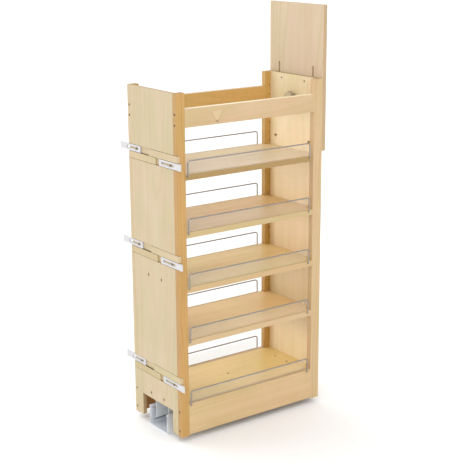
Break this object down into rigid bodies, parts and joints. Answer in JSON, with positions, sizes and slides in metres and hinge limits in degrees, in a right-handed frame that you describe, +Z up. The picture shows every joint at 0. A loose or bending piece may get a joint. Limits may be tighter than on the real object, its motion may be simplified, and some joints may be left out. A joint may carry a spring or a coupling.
{
  "type": "pull-out pantry organiser",
  "caption": "Tall narrow wooden pull-out pantry rack with guarded shelves, on a ball-bearing slide in a floor channel, with side glides and a height-adjustable cabinet door board.",
  "frame": {"origin": "middle of the floor channel's underside, on the cabinet floor", "axes": "+Z up, -Y towards the room (the way the unit pulls out), +Y to the back of the cabinet, +X to the right for someone who stands in the room and faces the cabinet"},
  "size_m": [0.345, 0.5843, 1.36],
  "materials": {
    "birch_ply": "satin lacquer",
    "birch_solid": "satin lacquer",
    "chromed_wire": "polished",
    "clear_acrylic": "clear, polished",
    "white_nylon": "moulded",
    "zinc_sheet": "zinc plated",
    "slide_steel": "zinc plated",
    "bearing_steel": "bright",
    "screw_steel": "zinc plated",
    "knob_plastic": "satin grey"
  },
  "bodies": {
    "floor_rail": {"floor_channel": "zinc_sheet", "slide_outer_left": "slide_steel", "slide_outer_right": "slide_steel"},
    "slide_middles": {"slide_middle_left": "slide_steel", "slide_middle_right": "slide_steel"},
    "outer_cages": {"outer_ball_cages": "bearing_steel"},
    "inner_cages": {"inner_ball_cages": "bearing_steel"},
    "pantry_frame": {"bottom_board_left": "birch_solid", "bottom_board_right": "birch_solid", "bottom_shelf": "birch_ply", "bottom_shelf_guards": "clear_acrylic", "bottom_shelf_wires": "chromed_wire", "bracket_screws": "screw_steel", "clamp_nuts": "screw_steel", "clamp_screws": "screw_steel", "frame_screws": "screw_steel", "front_left_stile": "birch_solid", "front_panel": "birch_ply", "front_right_stile": "birch_solid", "glide_screws": "screw_steel", "height_set_screws": "screw_steel", "lock_stud": "zinc_sheet", "lower_slat_1": "birch_ply", "lower_slat_2": "birch_ply", "lower_slat_3": "birch_ply", "middle_shelf": "birch_ply", "middle_shelf_cleat": "birch_solid", "middle_shelf_guards": "clear_acrylic", "middle_shelf_wires": "chromed_wire", "panel_screws": "screw_steel", "rear_left_stile": "birch_solid", "rear_panel": "birch_ply", "rear_right_stile": "birch_solid", "shelf_pins": "screw_steel", "slide_bracket": "zinc_sheet", "slide_inner_left": "slide_steel", "slide_inner_right": "slide_steel", "top_rail_left": "birch_solid", "top_rail_right": "birch_solid", "upper_slat_1": "birch_ply", "upper_slat_2": "birch_ply", "upper_slat_3": "birch_ply"},
    "shelf_1": {"shelf_1": "birch_ply", "shelf_1_guards": "clear_acrylic", "shelf_1_wires": "chromed_wire"},
    "shelf_2": {"shelf_2": "birch_ply", "shelf_2_guards": "clear_acrylic", "shelf_2_wires": "chromed_wire"},
    "shelf_4": {"shelf_4": "birch_ply", "shelf_4_guards": "clear_acrylic", "shelf_4_wires": "chromed_wire"},
    "upper_glide_1": {"upper_glide_1": "white_nylon"},
    "lower_glide_1": {"lower_glide_1": "white_nylon"},
    "upper_glide_2": {"upper_glide_2": "white_nylon"},
    "lower_glide_2": {"lower_glide_2": "white_nylon"},
    "upper_glide_3": {"upper_glide_3": "white_nylon"},
    "lower_glide_3": {"lower_glide_3": "white_nylon"},
    "front_board": {"front_board": "birch_ply"},
    "lock_knob": {"lock_knob": "knob_plastic"}
  },
  "joints": [
    {"name": "pull_out", "type": "slide", "parent": "floor_rail", "child": "pantry_frame", "axis": [0, -1, 0], "range_m": [0, 0.51]},
    {"name": "middle_travel", "type": "slide", "parent": "floor_rail", "child": "slide_middles", "axis": [0, -1, 0], "range_m": [0, 0.255]},
    {"name": "outer_cage_travel", "type": "slide", "parent": "floor_rail", "child": "outer_cages", "axis": [0, -1, 0], "range_m": [0, 0.1275]},
    {"name": "inner_cage_travel", "type": "slide", "parent": "floor_rail", "child": "inner_cages", "axis": [0, -1, 0], "range_m": [0, 0.3825]},
    {"name": "shelf_1_lift", "type": "slide", "parent": "pantry_frame", "child": "shelf_1", "axis": [0, 0, 1], "range_m": [0, 0.02]},
    {"name": "shelf_2_lift", "type": "slide", "parent": "pantry_frame", "child": "shelf_2", "axis": [0, 0, 1], "range_m": [0, 0.02]},
    {"name": "shelf_4_lift", "type": "slide", "parent": "pantry_frame", "child": "shelf_4", "axis": [0, 0, 1], "range_m": [0, 0.02]},
    {"name": "upper_glide_1_reach", "type": "slide", "parent": "pantry_frame", "child": "upper_glide_1", "axis": [1, 0, 0], "range_m": [-0.049, 0.011]},
    {"name": "lower_glide_1_reach", "type": "slide", "parent": "pantry_frame", "child": "lower_glide_1", "axis": [-1, 0, 0], "range_m": [-0.018, 0.042]},
    {"name": "upper_glide_2_reach", "type": "slide", "parent": "pantry_frame", "child": "upper_glide_2", "axis": [1, 0, 0], "range_m": [-0.049, 0.011]},
    {"name": "lower_glide_2_reach", "type": "slide", "parent": "pantry_frame", "child": "lower_glide_2", "axis": [-1, 0, 0], "range_m": [-0.018, 0.042]},
    {"name": "upper_glide_3_reach", "type": "slide", "parent": "pantry_frame", "child": "upper_glide_3", "axis": [1, 0, 0], "range_m": [-0.049, 0.011]},
    {"name": "lower_glide_3_reach", "type": "slide", "parent": "pantry_frame", "child": "lower_glide_3", "axis": [-1, 0, 0], "range_m": [-0.018, 0.042]},
    {"name": "board_height", "type": "slide", "parent": "pantry_frame", "child": "front_board", "axis": [0, 0, 1], "range_m": [-0.065, 0]},
    {"name": "knob_turn", "type": "hinge", "parent": "pantry_frame", "child": "lock_knob", "pos_m": [0, -0.26, 1.049], "axis": [0, 1, 0], "range_deg": [-720, 0]}
  ],
  "couplings": [
    {"joint": "middle_travel", "follows": "pull_out", "ratio": 0.5},
    {"joint": "outer_cage_travel", "follows": "pull_out", "ratio": 0.25},
    {"joint": "inner_cage_travel", "follows": "pull_out", "ratio": 0.75}
  ]
}
